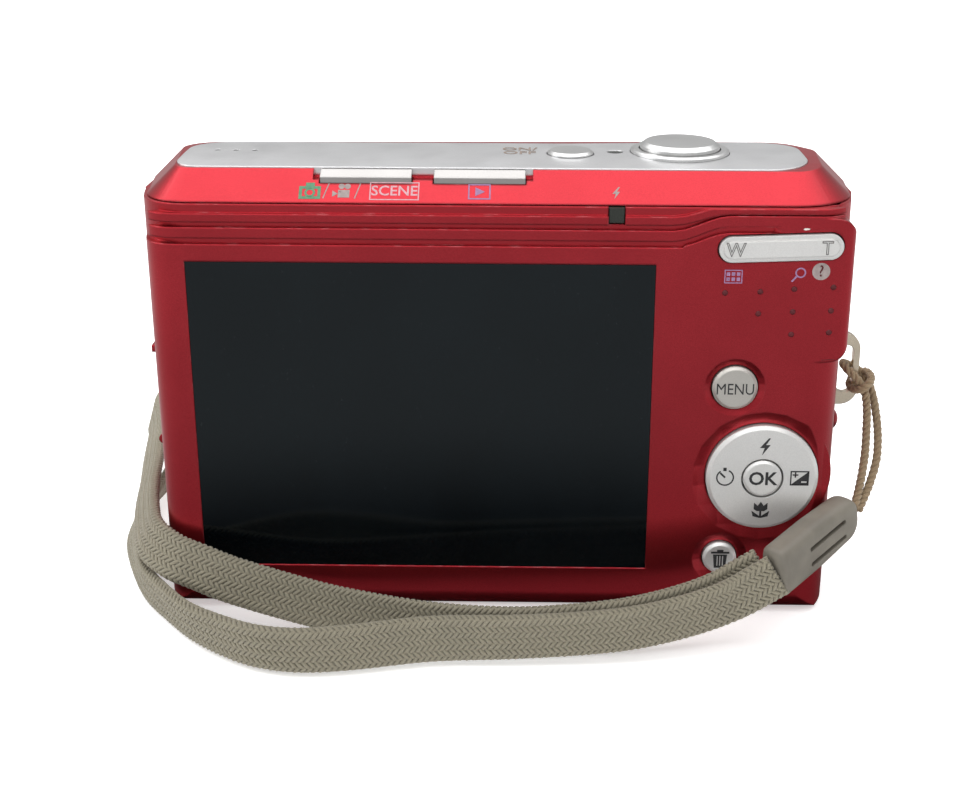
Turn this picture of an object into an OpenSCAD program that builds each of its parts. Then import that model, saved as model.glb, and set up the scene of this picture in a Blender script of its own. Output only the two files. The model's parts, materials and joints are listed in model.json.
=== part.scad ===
// Compact digital camera with a wrist strap, an assembly of separate pieces.
// X is the photographer's right, Y points forward out of the lens, Z is up.
// Millimetres, with the base on z = 0.

/* [Body] */
// Overall width of the body
body_w = 98; // [96:0.5:100]
// Height of the crown of the top plate
body_h = 64.15; // [64:0.05:64.3]
// Y of the flat rear face
rear_y = -15; // [-15.2:0.1:-15]
// Y of the front face beside the grip
front_y = 11; // [11:0.1:11.5]
// How far the grip stands proud of the front face
grip_out = 3.5; // [3:0.1:4]
// Thickness of the outer covers
wall = 1.4; // [1.2:0.1:1.5]
// Height at which the top cover starts
belt_z = 60; // [59.8:0.1:60.2]

/* [Screen] */
// Width of the screen window
screen_w = 62.9; // [60:0.1:63]
// Height of the screen window
screen_h = 45.1; // [43:0.1:45.4]
// X of the middle of the screen
screen_x = -10.1; // [-10.3:0.1:-10]
// Z of the middle of the screen
screen_z = 29.6; // [29.5:0.1:29.8]

/* [Lens] */
// X of the lens axis
lens_x = -13; // [-13.2:0.1:-12.8]
// Z of the lens axis
lens_z = 31; // [30.8:0.1:31.2]
// Outer radius of the larger lens barrel
barrel_r = 16.4; // [16:0.1:16.5]
// Outer radius of the smaller lens barrel
inner_barrel_r = 14.1; // [13.9:0.1:14.2]

/* [Controls] */
// Radius of the selector disc
selector_r = 7.8; // [7.4:0.1:7.9]
// X of the selector disc
selector_x = 37.2; // [37:0.1:37.4]
// Z of the selector disc
selector_z = 21.5; // [21:0.1:22]
// Radius of the centre button
ok_r = 2.7; // [2.5:0.1:2.8]
// Radius of the menu button
menu_r = 3.1; // [2.9:0.1:3.2]
// Radius of the shutter button
shutter_r = 5.6; // [5.4:0.1:5.8]
// Radius of the power button
power_r = 3.2; // [3:0.1:3.3]
// Gap round each button
gap = 0.15; // [0.1:0.05:0.2]

/* [Batteries] */
// Diameter of one battery cell
cell_d = 14.3; // [14:0.1:14.4]
// Length of one battery cell with its tip
cell_len = 50.2; // [49.5:0.1:50.5]

/* [Strap] */
// Width of the braided webbing
web_w = 6.6; // [6:0.1:7]
// Thickness of the braided webbing
web_t = 1.7; // [1.5:0.1:1.8]
// Diameter of the thin strap cord
cord_d = 1.3; // [1.1:0.1:1.4]

/* [Hidden] */
$fn = 64;
half_w = body_w / 2;
top_axis_y = -1.5;
top_r = 122;
upper_y = rear_y + 1.1;
top_axis_z = body_h - top_r;
plate_rear_y = -9.7;
plate_t = 0.9;
seam_y = -5;
screen_glass_t = 1;
menu_x = 32.75;
menu_z = 34.8;
delete_x = 31.9;
delete_z = 8.8;
delete_r = 2.4;
rocker_x = 37.8;
rocker_z = 54.75;
rocker_len = 16.4;
rocker_h = 3.5;
rocker_tilt = 0.25;
gimbal_y = -12.15;
mode_x = -17.4;
play_x = -2.2;
top_key_w = 12.2;
power_x = 10.1;
power_y = -1.3;
lamp_x = 16.4;
lamp_y = -0.1;
shutter_x = 25.5;
shutter_y = 0.4;
collar_r = 6.9;
hole_y = -0.5;
ready_x = 16;
cell_y = 5.2;
cell_z = 2.95;
cell_x = [23.5, 38.2];
door_x = [15.2, 44.4];
door_y = [-8.2, 12.6];
hinge_x = 44.9;
hinge_z = 1.5;
eyelet_y = -2;
eyelet_z = 33;
blade_pivot = [8.8, 1.5];
blade_r = 6.5;
port_y = [-8.6, -3.4];
port_z = [23, 38];
socket_x = 6.5;
screw_spots = [[-40, -2], [-22, 5], [-8, 6]];

// Route of the webbing: x, y, z of the centre line, and the lean of its width
// in degrees: 90 stands on edge, less leans the top edge right of the way along it.
web_route = [
    [37.1, -24.8, 10.7, 88],
    [32.6, -25.2, 8.0, 88],
    [27.2, -26.4, 6.4, 88],
    [20.0, -27.8, 5.2, 88],
    [12.8, -28.6, 4.6, 88],
    [2.8, -29.0, 4.1, 86],
    [-8.3, -29.2, 3.8, 80],
    [-19.0, -31.4, 3.7, 82],
    [-25.8, -32.2, 3.7, 86],
    [-31.4, -31.3, 3.7, 90],
    [-36.2, -29.0, 3.7, 94],
    [-41.4, -25.4, 3.7, 100],
    [-45.9, -20.4, 3.6, 100],
    [-50.4, -14.3, 3.45, 96],
    [-53.7, -6.8, 3.45, 84],
    [-56.3, 1.5, 3.45, 70],
    [-56.9, 8.0, 3.4, 62],
    [-56.8, 14.0, 3.4, 60],
    [-56.2, 21.0, 3.5, 68],
    [-55.4, 29.0, 3.7, 80],
    [-53.6, 37.0, 3.7, 88],
    [-50.0, 43.6, 3.7, 90],
    [-45.8, 48.8, 3.7, 90],
    [-44.4, 55.0, 3.7, 90],
    [-47.0, 60.8, 3.7, 90],
    [-52.6, 63.8, 3.7, 90],
    [-58.6, 62.0, 3.7, 90],
    [-62.6, 57.0, 3.9, 92],
    [-64.2, 50.0, 4.6, 98],
    [-63.7, 43.0, 5.5, 106],
    [-61.3, 35.0, 7.2, 112],
    [-59.0, 26.0, 8.8, 118],
    [-56.8, 16.5, 10.2, 120],
    [-55.0, 8.0, 10.6, 120],
    [-53.6, 0.0, 10.5, 120],
    [-51.9, -7.0, 10.4, 120],
    [-49.6, -13.6, 10.3, 120],
    [-45.6, -17.6, 9.6, 120],
    [-41.4, -18.9, 8.5, 120],
    [-36.8, -20.0, 7.2, 119],
    [-28.0, -21.4, 5.2, 114],
    [-20.4, -23.0, 4.2, 108],
    [-9.0, -25.3, 3.7, 100],
    [2.6, -26.4, 3.8, 94],
    [12.6, -26.1, 4.4, 92],
    [19.6, -25.3, 5.1, 92],
    [26.4, -24.0, 6.4, 92],
    [31.6, -22.9, 8.1, 92],
    [35.2, -22.9, 10.4, 92]
];

// Route of the thin cord, from the strap's end piece up one side, through the
// eyelet and back down the other side.
cord_route = [
    [51.1, -12.6, 15.9],
    [52.0, -10.6, 17.6],
    [52.8, -8.6, 19.6],
    [53.4, -6.8, 22.0],
    [53.7, -5.2, 24.8],
    [53.7, -4.4, 27.6],
    [53.2, -4.1, 30.2],
    [52.0, -4.0, 32.0],
    [50.9, -3.6, 33.0],
    [50.5, -2.4, 33.4],
    [50.5, -1.0, 33.3],
    [51.2, 0.1, 32.8],
    [52.8, 0.5, 32.0],
    [54.2, -0.2, 30.8],
    [55.0, -1.6, 28.9],
    [55.4, -3.2, 26.4],
    [55.5, -5.0, 23.6],
    [55.1, -7.0, 20.8],
    [54.0, -9.0, 18.2],
    [52.8, -10.8, 16.4],
    [51.8, -12.2, 15.1]
];
junction_mid = [44.35, -18.5, 13.6];
junction_len = 17.6;
junction_w = 7.6;
junction_t = 4.4;

red = [0.62, 0.05, 0.09];
silver = [0.80, 0.79, 0.78];
steel = [0.66, 0.67, 0.69];
black = [0.05, 0.05, 0.06];
grey = [0.35, 0.35, 0.37];
green = [0.05, 0.30, 0.16];
brass = [0.75, 0.62, 0.32];
khaki = [0.55, 0.51, 0.42];

function unit(v) = v / norm(v);
function xyz(p) = [p[0], p[1], p[2]];
function tangent(route, i) =
    unit(xyz(route[min(i + 1, len(route) - 1)]) - xyz(route[max(i - 1, 0)]));
function smooth(t) = let (u = min(1, max(0, t))) u * u * (3 - 2 * u);

// Outline of the grip on the front face, inset by d.
module grip_plan(d = 0) {
    hull() {
        translate([14, front_y - 8]) circle(r = 8 - d);
        translate([26, front_y + grip_out - 8]) circle(r = 8 - d);
        translate([half_w - 11, front_y + grip_out - 9]) circle(r = 9 - d);
        translate([half_w - 9, 2]) circle(r = 9 - d);
    }
}

// Plan outline of the body, inset by d.
module plan(d = 0) {
    hull() for (s = [-1, 1]) {
        translate([s * (half_w - 6), rear_y + 4.5]) circle(r = 4.5 - d);
        translate([s * (half_w - 9), -3]) circle(r = 9 - d);
        translate([s * (half_w - 9), front_y - 9]) circle(r = 9 - d);
    }
    grip_plan(d);
}

// Plan outline above the rear ledge, inset by d.  The left circle is turned two degrees so
// that none of its facets lies along a face of the rear cover.
module upper_plan(d = 0) {
    hull() {
        translate([7.8 - half_w, upper_y + 6.5]) rotate(2) circle(r = 6.5 - d);
        translate([half_w - 9.2, upper_y + 8.5]) circle(r = 8.5 - d);
        for (s = [-1, 1]) translate([s * (half_w - 9), front_y - 9]) circle(r = 9 - d);
    }
    grip_plan(d);
}

// Front-view outline with rounded corners, inset by d.
module face(d = 0) {
    hull() {
        for (s = [-1, 1]) translate([s * (half_w - 5), 5]) circle(r = 5 - d);
        translate([-43, 58.4]) circle(r = 6 - d);
        translate([43.3, 58.9]) circle(r = 5.6 - d);
    }
}

// Side-view outline below the top surface, inset by d.
module side(d = 0) {
    hull() {
        translate([rear_y + 3, 3]) circle(r = 3 - d);
        translate([front_y + grip_out - 3, 3]) circle(r = 3 - d);
        translate([rear_y + d, 50]) square([front_y + grip_out - rear_y - 2 * d, 18]);
    }
}

module along_x(x0, x1) {
    translate([x0, 0, 0]) rotate([90, 0, 90]) linear_extrude(x1 - x0) children();
}

module along_y(y0, y1) {
    translate([0, y1, 0]) rotate([90, 0, 0]) linear_extrude(y1 - y0) children();
}

// Solid under the crowned top surface, lowered by d.
module crown(d = 0) {
    translate([-60, top_axis_y, top_axis_z]) rotate([0, 90, 0]) cylinder(r = top_r - d, h = 120, $fn = 180);
}

// Solid block with the body's outer shape, inset by d all round.
module block(d = 0) {
    intersection() {
        linear_extrude(70) plan(d);
        along_y(-20, 20) face(d);
        along_x(-60, 60) side(d);
    }
}

// Cylinder along Y from y0 to y1.
module rod(x, z, r, y0, y1) {
    translate([x, y0, z]) rotate([-90, 0, 0]) cylinder(r = r, h = y1 - y0);
}

// Upright cylinder from z0 to z1.
module post(x, y, r, z0, z1) {
    translate([x, y, z0]) cylinder(r = r, h = z1 - z0);
}

module box(low, high) {
    translate(low) cube(high - low);
}

// Rounded slot along X, in the plane facing Y, turned up by tilt at its right end.
module pill(x, z, len, h, y0, y1, tilt = 0) {
    along_y(y0, y1) hull() {
        translate([x - len / 2 + h / 2, z - tilt]) circle(d = h);
        translate([x + len / 2 - h / 2, z + tilt]) circle(d = h);
    }
}

// Sloping wall between the inset outlines at two heights.
module bevelled(d0, z0, d1, z1) {
    hull() {
        translate([0, 0, z0]) linear_extrude(0.02) upper_plan(d0);
        translate([0, 0, z1]) linear_extrude(0.02) upper_plan(d1);
    }
}

module top_key_pocket() {
    for (x = [mode_x, play_x])
        box([x - top_key_w / 2 - gap, -11.65, 59], [x + top_key_w / 2 + gap, -9.75, 66]);
    box([mode_x - top_key_w / 2 - 1, -11.4, 62.6], [play_x + top_key_w / 2 + 1, -9.75, 66]);
}

// Opening in the side wall for the port cover.
module port_room() {
    box([-52, port_y[0] - 0.1, port_z[0] - 0.8], [-46.3, port_y[1] + 0.1, port_z[1] + 0.1]);
}

module front_cover() {
    color(red) difference() {
        union() {
            intersection() {
                block();
                box([-60, seam_y + 0.05, 0], [60, 20, belt_z - 0.05]);
            }
            translate([half_w - 1.1, -2.9, 25.4]) sphere(r = 2);
        }
        intersection() {
            block(wall);
            box([-60, -20, wall], [60, 20, 70]);
        }
        rod(lens_x, lens_z, 19.15, 0, 20);
        box([door_x[0] - 0.1, door_y[0] - 0.1, -1], [60, door_y[1] + 0.1, 2.6]);
        box([0.9, 5, 53.4], [15.1, 20, 59.5]);
        rod(-30, 54.5, 1.85, 5, 20);
        post(socket_x, 0, 5.05, -1, 3);
        for (p = screw_spots) post(p[0], p[1], 1.55, -1, 2);
        port_room();
        box([45.5, -2.65, 29.3], [52, -1.35, 36.7]);
    }
}

module rear_cover() {
    color(red) {
        difference() {
            union() {
                intersection() {
                    block();
                    box([-60, -20, 0], [60, seam_y - 0.05, 70]);
                    union() {
                        box([-60, -20, 0], [60, 0, 54.6]);
                        rise_fill(54.6, 2.1);
                    }
                }
                intersection() {
                    block();
                    linear_extrude(70) upper_plan(-0.5);
                    box([-60, -20, 54], [60, seam_y - 0.05, belt_z - 0.05]);
                }
                intersection() {
                    linear_extrude(belt_z - 0.05) plan();
                    along_y(-20, 20) face();
                    union() {
                        rib(55.4, 1.5, 2.1);
                        rib(57.6, 1.2, 1.6);
                    }
                }
                wing();
                rod(menu_x, menu_z, menu_r + 1.6, -14, -10.8);
                rod(selector_x, selector_z, selector_r + 2, -14, -10.8);
                rod(delete_x, delete_z, delete_r + 1.5, -14, -10.8);
            }
            intersection() {
                block(wall);
                box([-60, -20, wall], [60, 20, 70]);
                union() {
                    box([-60, -13.5, 0], [21.9, 20, 54]);
                    box([-60, -12.3, 0], [60, 20, 70]);
                }
            }
            box([screen_x - screen_w / 2 - 0.05, -20, screen_z - screen_h / 2 - 0.05],
                [screen_x + screen_w / 2 + 0.05,
                 rear_y + screen_glass_t + 0.1,
                 screen_z + screen_h / 2 + 0.05]);
            box([screen_x - 30.6, -20, screen_z - 21.6], [screen_x + 30.6, -12, screen_z + 21.6]);
            pill(rocker_x, rocker_z, rocker_len + 0.4, rocker_h + 0.4, -20, -9, rocker_tilt);
            rod(menu_x, menu_z, menu_r + gap, -20, -9);
            translate([menu_x, rear_y - 9.3, menu_z]) sphere(r = 10.2);
            rod(selector_x, selector_z, selector_r + gap, -20, -12.9);
            rod(selector_x, selector_z, 4.4, -20, -9);
            translate([selector_x - 5.1, gimbal_y, selector_z]) rotate([0, 90, 0])
                cylinder(r = 0.32, h = 10.2);
            translate([selector_x, rear_y - 29.2, selector_z]) sphere(r = 30.8);
            rod(delete_x, delete_z, delete_r + gap, -20, -9);
            translate([delete_x, rear_y - 8.1, delete_z]) sphere(r = 9);
            box([14.9, -20, 57.7], [17.1, -12, 60.1]);
            box([door_x[0] - 0.1, door_y[0] - 0.1, -1], [60, 0, 2.6]);
            port_room();
        }
        translate([rocker_x, -11.9, rocker_z - 3.2]) cylinder(r = 0.55, h = 6.4);
    }
}

// Places along the rear face where the step up to the thumb rest is drawn.
climb_x = [-60, 23.5, 25, 26.5, 28, 29.5, 31, 60];
function climb_z(x, z, rise) = z + rise * smooth((x - 23.5) / 7.5);

// Flat rear face under the step up to the thumb rest.
module rise_fill(z, rise) {
    along_y(-20, -13.4) polygon(concat(
        [[60, z - 2], [24, z - 2]],
        [for (i = [2:len(climb_x) - 1]) [climb_x[i], climb_z(climb_x[i], z, rise)]]
    ));
}

// Raised rib across the rear face, which steps up over the thumb rest.
module rib(z, h, rise) {
    along_y(rear_y - 0.2, -13.4) polygon(concat(
        [for (x = climb_x) [x, climb_z(x, z, rise)]],
        [for (i = [len(climb_x) - 1:-1:0]) [climb_x[i], climb_z(climb_x[i], z + h, rise)]]
    ));
}

// Square corner of the thumb rest, which stands out past the rounded side.
module wing() {
    intersection() {
        linear_extrude(70) hull() {
            for (x = [38, 46.3]) translate([x, rear_y + 1.6]) circle(r = 1.6);
            for (x = [38, 46.5]) translate([x, -6.6]) circle(r = 1.5);
        }
        along_y(-20, 0) hull() for (x = [39, 45], z = [41.6, 55.7]) translate([x, z]) circle(r = 3);
    }
}

module top_cover() {
    color(red) difference() {
        intersection() {
            bevelled(0, belt_z + 0.05, 4.4, 64.3);
            crown();
        }
        intersection() {
            linear_extrude(70) upper_plan(3.6);
            crown(wall + plate_t + 0.1);
            box([-60, -9.2, belt_z - 1], [60, 20, 70]);
        }
        plate_room(0.05, plate_t + 0.05);
        top_key_pocket();
        post(power_x, power_y, power_r + gap, 59, 70);
        post(shutter_x, shutter_y, collar_r + 0.1, 59, 70);
        post(lamp_x, lamp_y, 1.25, 59, 70);
        for (i = [0:2]) post(-39.4 + 2.6 * i, hole_y, 0.5, 59, 70);
    }
}

// Outline of the silver plate, grown by grow.
module plate_plan(grow) {
    hull() {
        translate([-40.5, -6.6]) circle(r = 3.1 + grow);
        translate([-37.6, 0.3]) circle(r = 6 + grow);
        translate([10, -3.7]) circle(r = 6 + grow);
        translate([10, 0.6]) circle(r = 6 + grow);
    }
    hull() {
        translate([10, -3.7]) circle(r = 6 + grow);
        translate([10, 0.6]) circle(r = 6 + grow);
        translate([36.6, -3.7]) circle(r = 6 + grow);
        translate([35.6, 2.4]) circle(r = 7 + grow);
    }
}

module plate_room(grow, deep) {
    difference() {
        linear_extrude(70) plate_plan(grow);
        crown(deep);
    }
}

module top_plate() {
    color(silver) difference() {
        intersection() {
            linear_extrude(70) plate_plan(0);
            crown(-0.15);
        }
        crown(plate_t);
        post(power_x, power_y, power_r + gap, 60, 70);
        post(shutter_x, shutter_y, collar_r + 0.1, 60, 70);
        post(lamp_x, lamp_y, 1.15, 60, 70);
        for (i = [0:2]) post(-39.4 + 2.6 * i, hole_y, 0.45, 60, 70);
    }
}

module chassis() {
    color(steel) difference() {
        union() {
            box([-44.5, -10.6, 3.2], [24, -9.9, 55.5]);
            box([-44.5, -9.95, 3.2], [-12, 4, 4]);
            for (x = [-44.5, 14.9]) box([x, -10, 3.2], [x + 0.8, -6.2, 21]);
        }
        for (x = [-42, 20], z = [7, 52]) rod(x, z, 0.9, -12, -8);
        box([-40, -12, 46], [-30, -9, 52]);
        box([-6, -12, 8], [14, -9, 14]);
    }
}

module battery_holder() {
    color(black) difference() {
        box([15.9, -3.6, 3], [46.6, 12.8, 55.3]);
        for (x = cell_x) post(x, cell_y, cell_d / 2 + 0.2, 2, 54.1);
        box([cell_x[0], cell_y - 4, 2], [cell_x[1], cell_y + 4, 54.1]);
        difference() {
            box([10, -4, 2], [50, 20, 60]);
            linear_extrude(70) plan(wall + 0.1);
        }
    }
}

module cell(x) {
    post(x, cell_y, cell_d / 2, cell_z, cell_z + cell_len - 1.2);
    post(x, cell_y, 2.7, cell_z + cell_len - 1.3, cell_z + cell_len);
}

module cell_inner() {
    color([0.75, 0.62, 0.2]) cell(cell_x[0]);
}

module cell_outer() {
    color([0.2, 0.25, 0.3]) translate([0, 0, 2 * cell_z + cell_len]) mirror([0, 0, 1]) cell(cell_x[1]);
}

module cell_contacts() {
    color(steel) {
        for (x = cell_x) box([x - 4, cell_y - 3.5, 53.7], [x + 4, cell_y + 3.5, 54.05]);
        box([cell_x[0] - 1.5, cell_y - 1.5, 53.2], [cell_x[0] + 1.5, cell_y + 1.5, 53.75]);
        translate([cell_x[1], cell_y, 53.2]) difference() {
            cylinder(r = 3, h = 0.55);
            translate([0, 0, -1]) cylinder(r = 2.2, h = 3);
        }
    }
}

module door_carriage() {
    color(red) {
        rod(hinge_x, hinge_z, 0.5, -4.5, 6.4);
        for (y = [[-4.6, -3.55], [5.45, 6.5]]) {
            rod(hinge_x, hinge_z, 1.05, y[0], y[1]);
            box([hinge_x, y[0], 1.5], [46.3, y[1], 2.5]);
        }
        intersection() {
            block();
            box([46.2, door_y[0], 0], [60, door_y[1], 2.4]);
        }
    }
}

module battery_door() {
    color(red) difference() {
        intersection() {
            block();
            union() {
                box([door_x[0], door_y[0], 0], [hinge_x - 1.3, door_y[1], 1.6]);
                for (y = [[door_y[0] + 0.1, -4.75], [-3.4, 5.3], [6.65, door_y[1] - 0.6]]) {
                    rod(hinge_x, hinge_z, 1.05, y[0], y[1]);
                    box([hinge_x - 2.6, y[0], 0.5], [hinge_x, y[1], 1.6]);
                }
            }
        }
        rod(hinge_x, hinge_z, 0.55, -4.9, 6.9);
        for (i = [0:4]) box([20 + i * 1.6, 1, -0.1], [20.7 + i * 1.6, 7, 0.35]);
    }
}

module door_contact() {
    color(brass) {
        box([20, cell_y - 2.5, 1.6], [42, cell_y + 2.5, 2]);
        for (x = cell_x) post(x, cell_y, 2, 1.9, 2.85);
    }
}

module tripod_socket() {
    color(steel) difference() {
        union() {
            post(socket_x, 0, 5, 0, 6.2);
            box([socket_x - 8, -5, 2], [socket_x + 8, 5, 3.1]);
        }
        post(socket_x, 0, 3.175, -1, 5.4);
        for (s = [-1, 1]) post(socket_x + s * 6.6, 0, 0.8, 0, 7);
    }
}

module screen_window() {
    color([0.02, 0.03, 0.03])
        box([screen_x - screen_w / 2, rear_y + 0.05, screen_z - screen_h / 2],
            [screen_x + screen_w / 2, rear_y + screen_glass_t + 0.05, screen_z + screen_h / 2]);
}

module screen_panel() {
    color(grey) box([screen_x - 30.5, rear_y + 1.1, screen_z - 21.5],
                    [screen_x + 30.5, rear_y + 3.5, screen_z + 21.5]);
}

module screen_tray() {
    color(steel) difference() {
        box([screen_x - 31.5, rear_y + 2.2, screen_z - 22.5],
            [screen_x + 31.5, rear_y + 4, screen_z + 22.5]);
        box([screen_x - 30.55, rear_y - 1, screen_z - 21.55],
            [screen_x + 30.55, rear_y + 3.55, screen_z + 21.55]);
    }
}

module main_board() {
    color(green) box([-43, -9.2, 5], [14.5, -8.2, 53]);
    color(black) {
        box([-40, -8.25, 41], [-29, -7.2, 52]);
        box([-6, -8.25, 6.5], [4, -7.4, 9.8]);
        box([-42, -8.25, 18], [-37, -7.4, 24]);
    }
}

module key_board() {
    color(green) difference() {
        box([26, -10.7, 5], [46, -9.9, 53.5]);
        rod(44, 30, 1, -12, -8);
    }
    color(steel) {
        rod(menu_x, menu_z, 1.6, -10.95, -10.65);
        rod(delete_x, delete_z, 1.6, -10.95, -10.65);
        rod(selector_x, selector_z, 1.6, -10.95, -10.65);
        for (a = [0:90:270])
            rod(selector_x + 6.4 * cos(a), selector_z + 6.4 * sin(a), 0.9, -10.75, -10.65);
        for (s = [-1, 1]) box([rocker_x + s * 5 - 1, -10.75, 51.6], [rocker_x + s * 5 + 1, -10.65, 53]);
    }
}

module zoom_rocker() {
    color(silver) difference() {
        union() {
            pill(rocker_x, rocker_z, rocker_len, rocker_h, -15.5, -13, rocker_tilt);
            pill(rocker_x, rocker_z, rocker_len - 1.2, rocker_h - 1.2, -15.9, -15.4, rocker_tilt);
            box([rocker_x - 1.5, -13.1, rocker_z - 1.2], [rocker_x + 1.5, -11, rocker_z + 1.2]);
        }
        translate([rocker_x, -11.9, rocker_z - 5]) cylinder(r = 0.6, h = 10);
    }
}

// Round push button whose face stands at y, on a stem that ends at y1.
module round_button(x, z, r, y, y1) {
    rod(x, z, r, y + 0.35, y + 2.2);
    translate([x, y + 0.4, z]) rotate([90, 0, 0]) cylinder(r1 = r, r2 = r - 0.4, h = 0.4);
    rod(x, z, 1.1, y + 2.1, y1);
}

module menu_button() {
    color(silver) round_button(menu_x, menu_z, menu_r, -15.4, -11.35);
}

module delete_button() {
    color(silver) round_button(delete_x, delete_z, delete_r, -15.3, -11.35);
}

module ok_button() {
    color(silver) {
        rod(selector_x, selector_z, ok_r, -15.55, -14);
        translate([selector_x, -15.5, selector_z]) rotate([90, 0, 0])
            cylinder(r1 = ok_r, r2 = ok_r - 0.35, h = 0.35);
        rod(selector_x, selector_z, 0.9, -14.1, -11.35);
    }
}

module selector_gimbal() {
    color(grey) {
        difference() {
            rod(selector_x, selector_z, 4.1, -12.6, -11.7);
            rod(selector_x, selector_z, 2.95, -13, -11);
            translate([selector_x, gimbal_y, selector_z - 5]) cylinder(r = 0.3, h = 10);
        }
        for (s = [-1, 1]) translate([selector_x + s * 4.45, gimbal_y, selector_z])
            rotate([0, 90, 0]) cylinder(r = 0.27, h = 0.9, center = true);
    }
}

module selector_disc() {
    color(silver) {
        difference() {
            union() {
                rod(selector_x, selector_z, selector_r, -15.2, -13.45);
                translate([selector_x, -15.15, selector_z]) rotate([90, 0, 0])
                    cylinder(r1 = selector_r, r2 = selector_r - 0.5, h = 0.45);
                rod(selector_x, selector_z, 3.9, -13.5, -12.8);
                rod(selector_x, selector_z, 2.8, -12.85, -11.8);
            }
            rod(selector_x, selector_z, ok_r + gap + 0.1, -17, -13.2);
            rod(selector_x, selector_z, 1.4, -17, -10);
        }
        for (s = [-1, 1]) translate([selector_x, gimbal_y, selector_z + s * 3.2])
            cylinder(r = 0.25, h = 1, center = true);
    }
}

// Bar-shaped button on the rear shoulder.
module top_key(x) {
    along_x(x - top_key_w / 2, x + top_key_w / 2) polygon([
        [-11.5, 61.4], [-11.5, 63], [-11.3, 63.25], [-9.95, 63.85], [-9.95, 61.4]
    ]);
    box([x - 1, -11.1, 60.8], [x + 1, -10.3, 61.5]);
}

module mode_button() {
    color(silver) top_key(mode_x);
}

module play_button() {
    color(silver) top_key(play_x);
}

module top_key_board() {
    color(green) {
        box([-24, -12.2, 59.2], [5, -8.2, 59.9]);
        box([5, -8.9, 59.2], [33, 3, 59.9]);
    }
    color(black) {
        for (x = [mode_x, play_x]) box([x - 1.5, -11.6, 59.85], [x + 1.5, -10.1, 60.35]);
        box([power_x - 1.5, power_y - 1.5, 59.85], [power_x + 1.5, power_y + 1.5, 60.7]);
        box([shutter_x - 2, shutter_y - 2, 59.85], [shutter_x + 2, shutter_y + 2, 60.4]);
    }
}

module power_button() {
    color(silver) {
        post(power_x, power_y, power_r, 62.2, 64.5);
        translate([power_x, power_y, 64.45]) cylinder(r1 = power_r, r2 = power_r - 0.4, h = 0.35);
        post(power_x, power_y, 1, 61.1, 62.3);
    }
}

module shutter_collar() {
    color(silver) difference() {
        union() {
            post(shutter_x, shutter_y, collar_r, 62.4, 64.6);
            translate([shutter_x, shutter_y, 64.55]) cylinder(r1 = collar_r, r2 = collar_r - 0.4, h = 0.25);
        }
        post(shutter_x, shutter_y, shutter_r + gap, 62, 68);
    }
}

module shutter_button() {
    color(silver) {
        post(shutter_x, shutter_y, shutter_r, 62.6, 65.3);
        translate([shutter_x, shutter_y, 65.25]) cylinder(r1 = shutter_r, r2 = shutter_r - 0.7, h = 0.55);
        post(shutter_x, shutter_y, 1.2, 61.4, 62.7);
    }
}

module power_lamp() {
    color([0.1, 0.12, 0.1]) post(lamp_x, lamp_y, 1.1, 62, 64.2);
}

module ready_lamp() {
    color([0.05, 0.02, 0.02]) box([15, -14.6, 57.8], [17, -12.5, 59.9]);
}

module lens_housing() {
    color(black) difference() {
        union() {
            box([lens_x - 19, -7, lens_z - 21.5], [lens_x + 19, 3, lens_z + 21.5]);
            rod(lens_x, lens_z, 18.6, 2.9, 9);
        }
        rod(lens_x, lens_z, barrel_r + 0.06, -5.4, 20);
        box([lens_x - 4, -8, lens_z - 3], [lens_x + 4, -5, lens_z + 3]);
        box([lens_x + 11.4, -3, lens_z - 22], [lens_x + 20, 4, lens_z - 11.3]);
    }
}

module lens_ring() {
    color(silver) difference() {
        union() {
            rod(lens_x, lens_z, 19.1, 8.9, 11.4);
            rod(lens_x, lens_z, 20.2, 11.05, 12.2);
        }
        rod(lens_x, lens_z, barrel_r + 0.3, 0, 20);
        rod(lens_x, lens_z, 18.65, 0, 9.05);
        translate([lens_x, 11.2, lens_z]) rotate([-90, 0, 0])
            cylinder(r1 = barrel_r + 0.3, r2 = barrel_r + 2, h = 1.2);
    }
}

module tube(r_out, r_in, y0, y1) {
    difference() {
        rod(lens_x, lens_z, r_out, y0, y1);
        rod(lens_x, lens_z, r_in, y0 - 1, y1 + 1);
    }
}

module outer_barrel() {
    color(grey) {
        tube(barrel_r, inner_barrel_r + 0.06, -5.2, 11.6);
        tube(barrel_r, inner_barrel_r + 0.06, 11.55, 11.9);
    }
}

module inner_barrel() {
    color([0.25, 0.25, 0.27]) {
        tube(inner_barrel_r, 12.7, -5.1, 12.4);
        tube(12.75, 6.6, 8.3, 9.9);
        tube(12.75, blade_r - 0.3, 11.6, 12.4);
        for (s = [-1, 1])
            rod(lens_x + s * blade_pivot[0], lens_z + s * blade_pivot[1], 0.45, 9.8, 11.7);
    }
}

module front_lens() {
    color([0.25, 0.3, 0.4, 0.5]) difference() {
        union() {
            rod(lens_x, lens_z, 6.6, 6.6, 9.6);
            intersection() {
                translate([lens_x, -5.5, lens_z]) sphere(r = 16);
                rod(lens_x, lens_z, 5.9, 9.5, 12);
            }
        }
        translate([lens_x, -7.6, lens_z]) sphere(r = 15);
    }
    color(black) tube(12.7, 6.6, 5.6, 7);
}

module rear_lens() {
    color([0.25, 0.3, 0.4, 0.5]) rod(lens_x, lens_z, 4.6, -1.6, 0.8);
    color(black) {
        tube(12.7, 4.6, -1.2, 0.4);
        tube(5.8, 4.6, -3, 1);
    }
}

// Half-round leaf with an arm to its pivot.
module leaf() {
    difference() {
        intersection() {
            translate([-20, 0.05]) square([40, 20]);
            union() {
                circle(r = blade_r);
                translate(blade_pivot) circle(r = 1.35);
                translate([4, 0.05]) square([4.6, 2.6]);
            }
        }
        translate(blade_pivot) circle(r = 0.5);
    }
}

module cover_blade(turn) {
    translate([lens_x, 0, lens_z]) rotate([0, turn, 0]) along_y(10.6, 11) leaf();
}

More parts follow.
